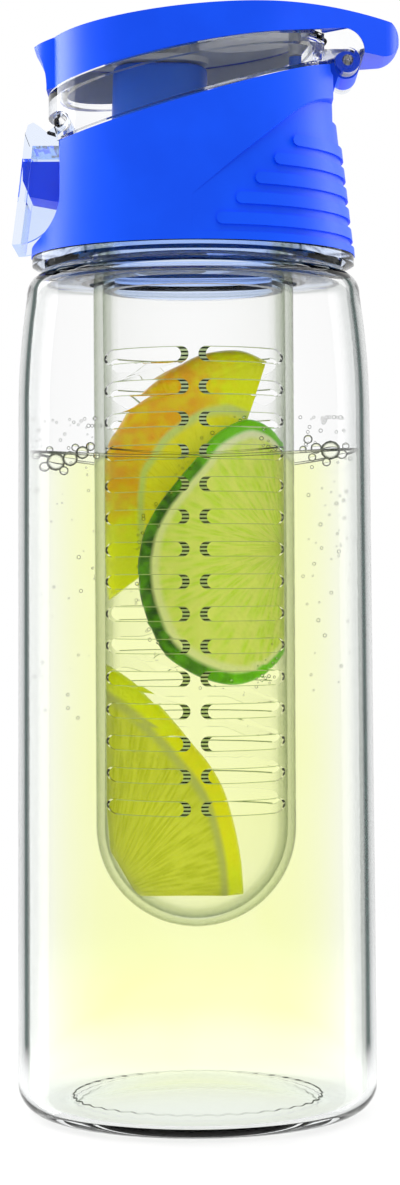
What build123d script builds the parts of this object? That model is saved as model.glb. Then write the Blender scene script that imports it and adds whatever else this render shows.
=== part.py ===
from build123d import *
import math
import os

# Fruit infuser water bottle with a flip-top lid, a sprung latch clip and a slotted fruit basket.
# Millimetres, +Z up. The origin is the middle of the foot, on the surface the bottle stands on.
# +X is the side of the cap hinge, -X the side of the latch, -Y the front.

# Clearances and the overrun of every cut
OVERRUN = 20.0
RUNNING_GAP = 0.05
LOOSE_GAP = 0.4
SEAT_GAP = 0.3

# Bottle
BODY_RADIUS_LOW = 37.7
BODY_RADIUS_HIGH = 36.8
BODY_HEIGHT = 145.0
BODY_WALL = 2.0
HEEL_RADIUS = 6.2
FOOT_WIDTH = 4.0
PUSH_UP = 4.2
PUSH_UP_BOW_SHARE = 0.75
BASE_THICKNESS = 2.4
SHOULDER_RISE = 25.0
SHOULDER_DRAW_IN = 1.9
SHOULDER_BOW_SHARE = 0.25
SHOULDER_ROUND = 5.4
NECK_RADIUS = 23.6
NECK_WALL = 1.8
NECK_HEIGHT = 14.6

# Fruit basket, a round-bottomed tube with rows of slots
BASKET_RADIUS = 21.0
BASKET_WALL = 1.7
BASKET_TUBE_LENGTH = 131.0
SLOT_ROWS = 15
SLOT_HEIGHT = 3.1
SLOT_PITCH = 6.59
SLOT_TOP_MARGIN = 33.6
SLOT_BRIDGE = 2.0
SLOT_SIDE_MARGIN = 1.4

# Lid liner, the clear part that screws on the neck and holds the basket
SKIRT_WALL = 1.3
RING_HEIGHT = 2.8
RING_INSET = 0.2
RING_CHAMFER = 2.0
RING_WEB = 1.4
PLATE_THICKNESS = 1.6
NECK_SEAL_THICKNESS = 1.2
BASKET_SEAL_THICKNESS = 0.7
NOZZLE_WALL = 2.2
NOZZLE_LENGTH = 20.0
VENT_HOLE_RADIUS = 1.2
VENT_HOLE_X = 12.0

# Lid casing, a coned sleeve with a sloped top, a latch flat and a ribbed grip
CASING_RADIUS = 33.9
CASING_DRAFT = 3.8
CASING_WALL = 1.8
FLAT_WALL = 1.4
FLAT_SCOOP_RADIUS = 10.0
FLAT_SCOOP_HEIGHT = 11.3
DECK_MID_HEIGHT = 29.6
DECK_SLOPE = 16.0
DECK_CURVE_RADIUS = 390.0
DECK_CURVE_SPAN = 8.0

# Grip: five raised ribs in a recess under a swept edge
GRIP_TILT = 2.6
GRIP_PIVOT_DROP = 18.0
GRIP_LIP = 1.6
GRIP_EDGE_HEIGHTS = (9.0, 17.0, 23.4, 28.9, 31.2)
GRIP_EDGE_PLACES = (0.0, 9.4, 16.9, 23.6, 30.0)
RIB_COUNT = 5
RIB_HEIGHT = 2.4
RIB_PROUD = 0.6
RIB_PITCH = 4.2
RIB_FIRST_HEIGHT = 4.2
RIB_FIRST_PLACE = 4.8
RIB_STEP = 3.9

# Catch boss on the latch flat
CATCH_WIDTH = 13.6
CATCH_HEIGHT = 8.0
CATCH_REACH = 8.2
CATCH_BASE_HEIGHT = 11.4

# Deck, the clear plate under the cap
DECK_RIM_HEIGHT = 0.8
DECK_RIM_WIDTH = 3.6
DECK_RIM_INSET = 0.3
DECK_POCKET_DEPTH = 0.9
DECK_PLUG_DEPTH = 2.0

# Drinking spout and vent
SPOUT_X = -6.7
SPOUT_LENGTH = 20.5
SPOUT_WIDTH = 15.0
SPOUT_WALL = 3.4
SPOUT_TOP_HEIGHT = 10.4
SPOUT_TAPER = 2.0
SPOUT_ROUND = 1.2
SPOUT_SEAL_THICKNESS = 1.2
VENT_X = 22.4
VENT_RADIUS = 1.8
VENT_TOP_HEIGHT = 12.4
VENT_HEAD_RADIUS = 2.6
VENT_HEAD_THICKNESS = 0.9

# Cap hinge
HINGE_OVERHANG = 1.9
HINGE_DROP = 0.5
HINGE_PIN_RADIUS = 1.1
HINGE_LUG_RADIUS = 2.8
HINGE_LUG_WIDTH = 13.0
HINGE_EAR_RADIUS = 2.6
HINGE_EAR_WIDTH = 6.0
HINGE_EAR_REACH = 3.6
EAR_CREST_SHARES = (-0.25, 0.0)
EAR_BEND_SHARES = (0.67, 0.32)
EAR_SIDE_SHARES = (1.0, 1.2)
EAR_ROOT_SHARE = 3.0
HINGE_RELIEF = 0.7
BACK_FLAT_DEPTH = 2.2
BACK_FLAT_DROP = 12.0

# Flip cap
CAP_RADIUS = 30.1
CAP_WALL = 2.0
CAP_LEDGE = 1.6
CAP_COVER_WALL = 1.8
CAP_CEILING = 1.8
COVER_EDGE_HEIGHT = 9.9
COVER_EDGE_SLOPE = 10.6
COVER_THICKNESS = 2.2
CROWN_RADIUS = 147.0
CROWN_APEX_X = 13.5
CROWN_APEX_HEIGHT = 21.4
LIP_REACH = 2.9
LIP_WIDTH = 21.0
LIP_ROUND = 7.0
LIP_HEIGHT_SHARE = 0.66
LIP_BEND_SHARES = (0.25, 0.55)
TAIL_REACH = 11.4
TAIL_RADIUS = 4.0
TAIL_RISE = 1.8
TAIL_CORNER = 8.0

# Latch clip
LATCH_PIVOT_RISE = 4.0
LATCH_PIVOT_OUT = 0.5
LATCH_PIN_RADIUS = 0.9
LATCH_BARREL_RADIUS = 1.9
LATCH_WIDTH = 22.0
LATCH_LUG_WIDTH = 2.0
LATCH_LUG_RADIUS = 2.1
LATCH_WALL = 1.7
LATCH_THICKNESS = 7.9
LATCH_TIP_FLARE = 2.9
LATCH_FLAT_GAP = 0.5
LATCH_WINDOW_WIDTH = 14.4
LATCH_NOTCH_RISE = 2.3
LATCH_NOTCH_DEPTH = 5.1
LATCH_BRIDGE_HEIGHT = 2.7
LATCH_SHOULDER_PLACE_SHARES = (0.10, 0.16, 0.44, 0.62, 0.79, 0.93, 1.0)
LATCH_SHOULDER_DEPTH_SHARES = (0.0, 0.16, 0.84, 0.36, 0.0, 0.21, 1.0)
LATCH_SHOULDER_DEPTH = 2.4

# Places and sizes worked out from the values above
shoulder_top = BODY_HEIGHT + SHOULDER_RISE + SHOULDER_ROUND
neck_top = shoulder_top + NECK_HEIGHT
neck_bore = NECK_RADIUS - NECK_WALL
lid_base = shoulder_top + LOOSE_GAP
casing_base = lid_base + RING_HEIGHT
skirt_bore = NECK_RADIUS + LOOSE_GAP
skirt_radius = skirt_bore + SKIRT_WALL
plate_base = neck_top + NECK_SEAL_THICKNESS + SEAT_GAP
plate_top = plate_base + PLATE_THICKNESS
basket_bore = BASKET_RADIUS - BASKET_WALL
basket_top = plate_base - BASKET_SEAL_THICKNESS - SEAT_GAP
basket_round_z = basket_top - BASKET_TUBE_LENGTH
nozzle_radius = basket_bore - LOOSE_GAP
flat_x = -(skirt_radius + SEAT_GAP + FLAT_WALL)
scoop_z = casing_base + FLAT_SCOOP_HEIGHT
deck_mid = casing_base + DECK_MID_HEIGHT
model_top = deck_mid + CROWN_APEX_HEIGHT
cup_radius = CAP_RADIUS - CAP_COVER_WALL - RUNNING_GAP


def deck_height(x):
    """Height of the curved deck line over a place along X."""
    slope = math.radians(DECK_SLOPE)
    centre_x = -DECK_CURVE_RADIUS * math.sin(slope)
    centre_z = deck_mid + DECK_CURVE_RADIUS * math.cos(slope)
    return centre_z - math.sqrt(DECK_CURVE_RADIUS ** 2 - (x - centre_x) ** 2)


def cover_edge(x):
    """Height of the cover's lower edge over a place along X."""
    return deck_mid + COVER_EDGE_HEIGHT + x * math.tan(math.radians(COVER_EDGE_SLOPE))


hinge_x = CAP_RADIUS + HINGE_OVERHANG
hinge_z = deck_height(CAP_RADIUS) - HINGE_DROP
latch_x = flat_x + LATCH_PIVOT_OUT
latch_z = deck_height(flat_x) + LATCH_PIVOT_RISE
hinge_half = HINGE_LUG_WIDTH / 2 + LOOSE_GAP + HINGE_EAR_WIDTH
tail_half = hinge_half + RUNNING_GAP
back_x = CAP_RADIUS - BACK_FLAT_DEPTH / 2


STANDING = (Align.CENTER, Align.CENTER, Align.MIN)


def side_face(*edges):
    """A face in the XZ plane bounded by edges given in that plane."""
    return Plane.XZ * make_face(Curve() + list(edges))


def side_polygon(points):
    """A polygon in the XZ plane."""
    return Plane.XZ * make_face(Polyline(*points, close=True))


def side_prism(face, width):
    """A face in the XZ plane made into a solid as wide as given, centred on it."""
    return extrude(face, amount=width / 2, both=True)


def spun(points):
    """A closed (radius, height) outline turned about the Z axis."""
    return revolve(side_polygon(points), axis=Axis.Z)


def upright(radius, low, high, x=0.0, y=0.0):
    """An upright cylinder from one height to another."""
    return Pos(x, y, low) * Cylinder(radius, high - low, align=STANDING)


def crossbar(radius, x, z, low, high):
    """A cylinder along Y at (x, z), from one y to another."""
    bar = Cylinder(radius, high - low, align=STANDING)
    return Pos(x, low, z) * Rot(-90, 0, 0) * bar


def block(low, high):
    """A box between two corners."""
    size = [high[i] - low[i] for i in range(3)]
    return Pos(*low) * Box(*size, align=(Align.MIN, Align.MIN, Align.MIN))


def slot_column(length, width, low, high, x, taper=0.0):
    """An upright solid whose section is a round-ended slot along X."""
    section = Pos(x, 0, low) * SlotOverall(length, width)
    return extrude(section, amount=high - low, taper=taper)


model_half = CASING_RADIUS + HINGE_OVERHANG + TAIL_REACH + OVERRUN


def above_deck(lift):
    """Everything above the curved deck line, moved up by lift."""
    slope = math.radians(DECK_SLOPE)
    span = math.radians(DECK_CURVE_SPAN)
    centre_x = -DECK_CURVE_RADIUS * math.sin(slope)
    places = [centre_x + DECK_CURVE_RADIUS * math.sin(slope + turn) for turn in (-span, 0, span)]
    left, middle, right = [(x, deck_height(x) + lift) for x in places]
    top = model_top + OVERRUN
    face = side_face(
        ThreePointArc(left, middle, right),
        Polyline(right, (right[0], top), (left[0], top), left),
    )
    return side_prism(face, 2 * model_half)


def above_cover_edge(lift):
    """Everything above the cover's lower edge line, moved up by lift."""
    top = model_top + OVERRUN
    left = (-model_half, cover_edge(-model_half) + lift)
    right = (model_half, cover_edge(model_half) + lift)
    return side_prism(side_polygon([left, right, (model_half, top), (-model_half, top)]), 2 * model_half)


def crown_ball(drop):
    """The large ball whose top is the crown of the cap, shrunk by drop."""
    return Pos(CROWN_APEX_X, 0, model_top - CROWN_RADIUS) * Sphere(CROWN_RADIUS - drop)


def latch_cut(offset):
    """The latch flat and the scoop under it, grown inwards by offset."""
    scoop_x = flat_x - FLAT_SCOOP_RADIUS
    radius = FLAT_SCOOP_RADIUS + offset
    diagonal = radius / math.sqrt(2)
    top = model_top + OVERRUN
    wall = (scoop_x + radius, scoop_z)
    middle = (scoop_x + diagonal, scoop_z - diagonal)
    floor = (scoop_x, scoop_z - radius)
    face = side_face(
        Line((wall[0], top), wall),
        ThreePointArc(wall, middle, floor),
        Polyline(floor, (-model_half, floor[1]), (-model_half, top), (wall[0], top)),
    )
    return side_prism(face, 2 * model_half)


def casing_cone(offset, low, high):
    """The casing's cone, shrunk by offset, from one height to another."""
    slope = math.tan(math.radians(CASING_DRAFT))
    low_radius = CASING_RADIUS - offset - (low - casing_base) * slope
    high_radius = CASING_RADIUS - offset - (high - casing_base) * slope
    return Pos(0, 0, low) * Cone(low_radius, high_radius, high - low, align=STANDING)


def leaning_cone(offset):
    """The casing's cone leaned towards the latch, which shapes the grip behind."""
    pivot = casing_base - GRIP_PIVOT_DROP
    cone = casing_cone(offset, casing_base - OVERRUN / 2, model_top + OVERRUN / 2)
    return Pos(0, 0, pivot) * Rot(0, -GRIP_TILT, 0) * Pos(0, 0, -pivot) * cone


def casing_shape(offset):
    """The casing's outer shape, shrunk by offset, with the latch flat."""
    return casing_cone(offset, casing_base - OVERRUN, model_top + OVERRUN) - latch_cut(offset)


def bottle_side(inset):
    """Points and curves of the bottle's side from the heel to the shoulder, moved in by inset."""
    low = (BODY_RADIUS_LOW - inset, HEEL_RADIUS)
    high = (BODY_RADIUS_HIGH - inset, BODY_HEIGHT)
    crease = (BODY_RADIUS_HIGH - SHOULDER_DRAW_IN - inset, BODY_HEIGHT + SHOULDER_RISE)
    land = (crease[0] - SHOULDER_ROUND + inset, shoulder_top - inset)
    return low, high, crease, land


def bottle_outline(inset, floor, neck, top, push, heel):
    """The outline turned to make the bottle's outside, or its inside when inset."""
    low, high, crease, land = bottle_side(inset)
    foot_out = BODY_RADIUS_LOW - HEEL_RADIUS
    foot_in = foot_out - FOOT_WIDTH
    heel_mid = heel / math.sqrt(2)
    long_bow = SHOULDER_DRAW_IN * SHOULDER_BOW_SHARE
    round_x = land[0] + (crease[0] - land[0]) / math.sqrt(2)
    round_z = crease[1] + (land[1] - crease[1]) / math.sqrt(2)
    return side_face(
        Line((0, top), (0, floor + push)),
        ThreePointArc((0, floor + push), (foot_in / 2, floor + push * PUSH_UP_BOW_SHARE), (foot_in, floor)),
        Line((foot_in, floor), (foot_out, floor)),
        ThreePointArc((foot_out, floor), (foot_out + heel_mid, floor + heel - heel_mid), low),
        Line(low, high),
        ThreePointArc(high, (high[0] - long_bow, high[1] + SHOULDER_RISE / 2), crease),
        ThreePointArc(crease, (round_x, round_z), land),
        Polyline(land, (neck, land[1]), (neck, top), (0, top)),
    )


def make_bottle():
    """The clear bottle: a drawn-in body with a push-up base and a plain neck."""
    outside = revolve(bottle_outline(0, 0, NECK_RADIUS, neck_top, PUSH_UP, HEEL_RADIUS), axis=Axis.Z)
    inside = revolve(
        bottle_outline(BODY_WALL, BASE_THICKNESS, neck_bore, neck_top + OVERRUN, PUSH_UP,
                       HEEL_RADIUS - BASE_THICKNESS),
        axis=Axis.Z,
    )
    return outside - inside


def make_basket():
    """The fruit basket: a round-bottomed tube with rows of slots open front and back."""
    tube_low = basket_round_z
    outside = upright(BASKET_RADIUS, tube_low, basket_top) + Pos(0, 0, tube_low) * Sphere(BASKET_RADIUS)
    bore = upright(basket_bore, tube_low, basket_top + OVERRUN) + Pos(0, 0, tube_low) * Sphere(basket_bore)
    slot_end = basket_bore - SLOT_SIDE_MARGIN
    slot_length = slot_end - SLOT_BRIDGE / 2
    slot_middle = (slot_end + SLOT_BRIDGE / 2) / 2
    pattern = Sketch()
    for row in range(SLOT_ROWS):
        height = basket_top - SLOT_TOP_MARGIN - row * SLOT_PITCH
        for side in (-1, 1):
            pattern += Pos(side * slot_middle, height) * SlotOverall(slot_length, SLOT_HEIGHT)
    slots = extrude(Plane.XZ * pattern, amount=BASKET_RADIUS + OVERRUN, both=True)
    return outside - bore - slots


def make_liner():
    """The clear liner: neck skirt, top plate, basket nozzle and the ring under the casing."""
    ring_radius = CASING_RADIUS - RING_INSET
    web_low = casing_base - RING_WEB
    shell = spun([
        (skirt_bore, web_low),
        (ring_radius - RING_CHAMFER * 2, web_low),
        (ring_radius - RING_CHAMFER * 2, lid_base),
        (ring_radius - RING_CHAMFER, lid_base),
        (ring_radius, lid_base + RING_CHAMFER / 2),
        (ring_radius, casing_base),
        (skirt_radius, casing_base),
        (skirt_radius, plate_top),
        (0, plate_top),
        (0, plate_base),
        (nozzle_radius - NOZZLE_WALL, plate_base),
        (nozzle_radius - NOZZLE_WALL, plate_base - NOZZLE_LENGTH),
        (nozzle_radius, plate_base - NOZZLE_LENGTH),
        (nozzle_radius, plate_base),
        (skirt_bore, plate_base),
    ])
    mouth = slot_column(
        SPOUT_LENGTH - 2 * SPOUT_WALL, SPOUT_WIDTH - 2 * SPOUT_WALL,
        plate_base - OVERRUN / 2, plate_top + OVERRUN / 2, SPOUT_X,
    )
    vent = upright(VENT_HOLE_RADIUS, plate_base - OVERRUN / 2, plate_top + OVERRUN / 2, VENT_HOLE_X)
    return shell - mouth - vent


def make_neck_seal():
    """The flat ring that the neck's rim closes on."""
    return spun([
        (neck_bore, plate_base - NECK_SEAL_THICKNESS),
        (NECK_RADIUS, plate_base - NECK_SEAL_THICKNESS),
        (NECK_RADIUS, plate_base),
        (neck_bore, plate_base),
    ])


def make_basket_seal():
    """The flat ring round the nozzle that the basket's rim closes on."""
    return spun([
        (nozzle_radius, plate_base - BASKET_SEAL_THICKNESS),
        (BASKET_RADIUS, plate_base - BASKET_SEAL_THICKNESS),
        (BASKET_RADIUS, plate_base),
        (nozzle_radius, plate_base),
    ])


def grip_recess():
    """What is cut away under the swept edge to leave the leaning grip."""
    points = [(x, casing_base + z) for x, z in zip(GRIP_EDGE_PLACES, GRIP_EDGE_HEIGHTS)]
    end = (model_half, points[-1][1])
    floor = casing_base + GRIP_LIP
    face = side_face(
        Spline(*points),
        Polyline(points[-1], end, (model_half, floor), (points[0][0], floor), points[0]),
    )
    return side_prism(face, 2 * model_half) - leaning_cone(0)


def grip_ribs():
    """The raised ribs, round-ended at the front and running round behind."""
    pattern = Sketch()
    for rib in range(RIB_COUNT):
        low = RIB_FIRST_PLACE + rib * RIB_STEP
        height = casing_base + RIB_FIRST_HEIGHT + rib * RIB_PITCH
        length = model_half - low
        pattern += Pos(low + length / 2, height) * SlotOverall(length, RIB_HEIGHT)
    band = extrude(Plane.XZ * pattern, amount=model_half, both=True)
    return band & leaning_cone(-RIB_PROUD)


def hinge_lug(gap):
    """The casing's middle hinge lug and the web that carries it, grown sideways by gap."""
    half = HINGE_LUG_WIDTH / 2 + gap
    lug = crossbar(HINGE_LUG_RADIUS + gap, hinge_x, hinge_z, -half, half)
    root = back_x - CASING_WALL - gap
    web = side_prism(
        side_polygon([
            (hinge_x, hinge_z + HINGE_LUG_RADIUS / 2),
            (root, hinge_z),
            (root, hinge_z - 2 * HINGE_LUG_RADIUS),
            (hinge_x - HINGE_LUG_RADIUS, hinge_z - 2 * HINGE_LUG_RADIUS),
            (hinge_x - HINGE_LUG_RADIUS / 2, hinge_z - HINGE_LUG_RADIUS / 2),
        ]),
        2 * half,
    )
    return lug + web


def hinge_room(offset):
    """The room that the cap's hinge ears and tail turn in, grown by offset."""
    radius = HINGE_EAR_REACH + HINGE_RELIEF + offset
    half = tail_half + LOOSE_GAP + offset
    low = hinge_z - BACK_FLAT_DROP - offset
    room = crossbar(radius, hinge_x, hinge_z, -half, half)
    return room + block((back_x - offset, -half, low), (model_half, half, model_top))


def make_casing():
    """The blue casing: coned sleeve, latch flat with its catch boss, ribbed grip and hinge lug."""
    bore = casing_cone(CASING_WALL, casing_base - OVERRUN, model_top + OVERRUN) - latch_cut(FLAT_WALL)
    bore = bore & leaning_cone(CASING_WALL)
    bore -= hinge_room(CASING_WALL)
    shape = casing_shape(0) - grip_recess() + grip_ribs()
    shape -= bore
    foot = casing_base - 2 * OVERRUN
    shape -= block((-model_half, -model_half, foot), (model_half, model_half, casing_base))
    shape -= above_deck(-DECK_RIM_HEIGHT)
    boss_low = casing_base + CATCH_BASE_HEIGHT
    boss = side_prism(
        side_polygon([
            (flat_x + FLAT_WALL / 2, boss_low - FLAT_WALL / 2),
            (flat_x - CATCH_REACH + FLAT_WALL, boss_low + FLAT_WALL / 2),
            (flat_x - CATCH_REACH, boss_low + CATCH_HEIGHT / 2),
            (flat_x - CATCH_REACH, boss_low + CATCH_HEIGHT),
            (flat_x + FLAT_WALL / 2, boss_low + CATCH_HEIGHT),
        ]),
        CATCH_WIDTH,
    )
    pin = crossbar(HINGE_PIN_RADIUS, hinge_x, hinge_z, -hinge_half, hinge_half)
    return shape + boss - hinge_room(0) + hinge_lug(0) - pin


def spout_hole(gap):
    """The spout's passage through the deck."""
    return slot_column(SPOUT_LENGTH + 2 * gap, SPOUT_WIDTH + 2 * gap, plate_top, model_top, SPOUT_X)


def make_deck():
    """The clear deck: a rim on the casing's edge, a plug inside it and a shallow pocket."""
    rim = casing_shape(DECK_RIM_INSET) - above_deck(0)
    rim = rim & above_deck(-DECK_RIM_HEIGHT)
    plug_offset = CASING_WALL + RUNNING_GAP
    plug = casing_cone(plug_offset, casing_base, model_top) & leaning_cone(plug_offset)
    plug -= latch_cut(FLAT_WALL + RUNNING_GAP) + hinge_room(plug_offset)
    plug = (plug - above_deck(-DECK_RIM_HEIGHT)) & above_deck(-DECK_RIM_HEIGHT - DECK_PLUG_DEPTH)
    pocket = casing_shape(DECK_RIM_WIDTH) & above_deck(-DECK_POCKET_DEPTH)
    vent = upright(VENT_RADIUS, plate_top, model_top, VENT_X)
    return rim + plug - pocket - spout_hole(RUNNING_GAP) - vent - hinge_room(0) - hinge_lug(RUNNING_GAP)


def make_spout():
    """The blue drinking spout: a tapered oval mouth on a straight stem."""
    stem_low = plate_top + SPOUT_SEAL_THICKNESS
    stem_top = deck_height(SPOUT_X)
    mouth_top = deck_mid + SPOUT_TOP_HEIGHT
    body = slot_column(SPOUT_LENGTH, SPOUT_WIDTH, stem_low, stem_top, SPOUT_X)
    body += slot_column(SPOUT_LENGTH, SPOUT_WIDTH, stem_top, mouth_top, SPOUT_X, SPOUT_TAPER)
    body = fillet(body.edges().group_by(Axis.Z)[-1], SPOUT_ROUND)
    bore = slot_column(
        SPOUT_LENGTH - 2 * SPOUT_WALL, SPOUT_WIDTH - 2 * SPOUT_WALL,
        stem_low - OVERRUN, mouth_top + OVERRUN, SPOUT_X,
    )
    return body - bore


def make_spout_seal():
    """The flat seal between the spout's stem and the liner's plate."""
    outer = slot_column(SPOUT_LENGTH, SPOUT_WIDTH, plate_top, plate_top + SPOUT_SEAL_THICKNESS, SPOUT_X)
    inner = slot_column(
        SPOUT_LENGTH - 2 * SPOUT_WALL, SPOUT_WIDTH - 2 * SPOUT_WALL,
        plate_top - OVERRUN / 2, plate_top + OVERRUN / 2, SPOUT_X,
    )
    return outer - inner


def make_vent_valve():
    """The soft vent valve: a stem in the deck with a button head above it."""
    low = deck_height(VENT_X) - DECK_RIM_HEIGHT - 2 * DECK_PLUG_DEPTH
    top = deck_mid + VENT_TOP_HEIGHT
    stem = upright(VENT_RADIUS - RUNNING_GAP, low, top, VENT_X)
    button = upright(VENT_HEAD_RADIUS, low - VENT_HEAD_THICKNESS, low, VENT_X)
    return stem + button - upright(VENT_HOLE_RADIUS / 2, low - OVERRUN, top + OVERRUN, VENT_X)


def make_hinge_pin():
    """The steel pin of the cap hinge."""
    return crossbar(HINGE_PIN_RADIUS, hinge_x, hinge_z, -hinge_half, hinge_half)


def cap_hollow():
    """The room inside the cap."""
    low = deck_mid - DECK_MID_HEIGHT
    band = upright(CAP_RADIUS - CAP_WALL, low, model_top) - above_cover_edge(-CAP_LEDGE)
    cup = upright(cup_radius - CAP_WALL, low, model_top)
    return band + (cup & crown_ball(COVER_THICKNESS + RUNNING_GAP + CAP_CEILING))


def ear_crest(gap):
    """Three points of the bend over the hinge ears, seen along the hinge and grown by gap."""
    reach = HINGE_EAR_REACH + gap
    top = cover_edge(hinge_x) + gap
    shares = (EAR_CREST_SHARES, EAR_BEND_SHARES, EAR_SIDE_SHARES)
    return [(hinge_x + reach * across, top - reach * down) for across, down in shares]


def ear_shape(gap):
    """The outline of the cap's hinge block seen along the hinge, grown by gap."""
    crest, bend, side = ear_crest(gap)
    radius = HINGE_EAR_RADIUS + gap
    root = hinge_x - (HINGE_EAR_REACH + gap) * EAR_ROOT_SHARE
    back, low, front = (hinge_x + radius, hinge_z), (hinge_x, hinge_z - radius), (hinge_x - radius, hinge_z)
    face = side_face(
        ThreePointArc(crest, bend, side),
        Line(side, back),
        ThreePointArc(back, low, front),
        Polyline(front, (root, hinge_z), (root, crest[1]), crest),
    )
    return side_prism(face, 2 * (hinge_half + gap))


def cap_plan():
    """The flip cap's plan, round in front and drawn in to its tail, as a tall solid."""
    tail = Pos(hinge_x + TAIL_REACH - TAIL_CORNER, 0) * Circle(TAIL_CORNER)
    outline = make_hull(Circle(CAP_RADIUS).edges() + tail.edges())
    low = deck_mid - DECK_MID_HEIGHT
    return Pos(0, 0, low) * extrude(outline, amount=model_top - low)


def make_cap_shell():
    """The clear flip cap: a visible band, a cup under the cover, hinge ears and latch lugs."""
    low = deck_mid - DECK_MID_HEIGHT
    root = hinge_x - (HINGE_EAR_REACH + RUNNING_GAP) * EAR_ROOT_SHARE / 2
    front = block((-model_half, -model_half, low), (root, model_half, model_top))
    band = cap_plan() & (front + ear_shape(0))
    band += upright(CAP_RADIUS, low, model_top)
    cup = upright(cup_radius, low, model_top) & crown_ball(COVER_THICKNESS + RUNNING_GAP)
    shell = band - above_cover_edge(0) + cup - cap_hollow()
    shell = shell & above_deck(SEAT_GAP)
    half = HINGE_LUG_WIDTH / 2 + LOOSE_GAP
    ears = crossbar(HINGE_EAR_RADIUS, hinge_x, hinge_z, -hinge_half, hinge_half)
    lug_room = HINGE_LUG_RADIUS + LOOSE_GAP
    room = crossbar(lug_room, hinge_x, hinge_z, -half, half)
    room += block((root, -half, hinge_z - OVERRUN), (hinge_x, half, hinge_z + lug_room))
    shell = shell + ears - room
    pin = crossbar(HINGE_PIN_RADIUS + RUNNING_GAP, hinge_x, hinge_z, -2 * hinge_half, 2 * hinge_half)
    notch_half = LATCH_WIDTH / 2 + SEAT_GAP
    notch = block(
        (-model_half, -notch_half, casing_base),
        (flat_x + LATCH_NOTCH_DEPTH, notch_half, latch_z + LATCH_NOTCH_RISE),
    )
    lug_end = notch_half + LATCH_LUG_WIDTH
    lugs = crossbar(LATCH_LUG_RADIUS, latch_x, latch_z, -lug_end, lug_end)
    shell = shell + lugs - notch
    pivot = crossbar(LATCH_PIN_RADIUS, latch_x, latch_z, -model_half, model_half)
    return shell - pin - pivot


def cover_profile():
    """The cover's side view: thumb lip, sloped lower edge, hinge bend and rounded tail."""
    top = model_top + OVERRUN
    left = (-CAP_RADIUS, cover_edge(-CAP_RADIUS))
    tip = (-CAP_RADIUS - LIP_REACH, deck_mid + CROWN_APEX_HEIGHT * LIP_HEIGHT_SHARE)
    bend_x = -CAP_RADIUS - LIP_REACH * LIP_BEND_SHARES[0]
    bend = (bend_x, left[1] + (tip[1] - left[1]) * LIP_BEND_SHARES[1])
    crest, ear_bend, side = ear_crest(RUNNING_GAP)
    tail_x = hinge_x + TAIL_REACH - TAIL_RADIUS
    tail_z = hinge_z + TAIL_RISE + TAIL_RADIUS
    under = (tail_x, tail_z - TAIL_RADIUS)
    outer = (tail_x + TAIL_RADIUS, tail_z)
    over = (tail_x, tail_z + TAIL_RADIUS)
    return side_face(
        Line(left, crest),
        ThreePointArc(crest, ear_bend, side),
        Line(side, under),
        ThreePointArc(under, outer, over),
        Polyline(over, (hinge_x, top), (tip[0], top), tip),
        ThreePointArc(tip, bend, left),
    )


def make_cover():
    """The blue cover: a crowned shell with a thumb lip and a tail behind the hinge."""
    low = deck_mid - DECK_MID_HEIGHT
    lip_low = -CAP_RADIUS - LIP_REACH
    lip_plan = Pos(lip_low / 2, 0, low) * RectangleRounded(-lip_low, LIP_WIDTH, LIP_ROUND)
    plan = cap_plan() + extrude(lip_plan, amount=model_top - low)
    body = plan & side_prism(cover_profile(), 2 * model_half) & crown_ball(0)
    hollow = upright(cup_radius + RUNNING_GAP, low, model_top) & crown_ball(COVER_THICKNESS)
    return body - hollow - (ear_shape(RUNNING_GAP) - above_cover_edge(0))


def make_spout_plug():
    """The soft plug under the cap that closes the spout."""
    mouth_top = deck_mid + SPOUT_TOP_HEIGHT
    gap = LOOSE_GAP
    length = SPOUT_LENGTH - 2 * SPOUT_WALL - 2 * gap
    width = SPOUT_WIDTH - 2 * SPOUT_WALL - 2 * gap
    plug = slot_column(length, width, mouth_top - SPOUT_ROUND, model_top, SPOUT_X)
    plug += slot_column(SPOUT_LENGTH, SPOUT_WIDTH, mouth_top + gap, mouth_top + gap + SPOUT_ROUND, SPOUT_X)
    return plug & cap_hollow()


def make_vent_plug():
    """The short peg under the cap that presses the vent shut."""
    low = deck_mid + VENT_TOP_HEIGHT + SEAT_GAP
    return upright(VENT_RADIUS, low, model_top, VENT_X) & cap_hollow()


def latch_outer():
    """The outer line of the latch from its shoulder to its tip, top first."""
    out_x = latch_x - LATCH_THICKNESS
    tip_z = scoop_z - FLAT_SCOOP_RADIUS + LATCH_FLAT_GAP
    middle = (out_x - LATCH_TIP_FLARE / 2, (latch_z + tip_z) / 2 - LATCH_WALL)
    return (out_x, latch_z - LATCH_BARREL_RADIUS), middle, (out_x - LATCH_TIP_FLARE, tip_z)


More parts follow.
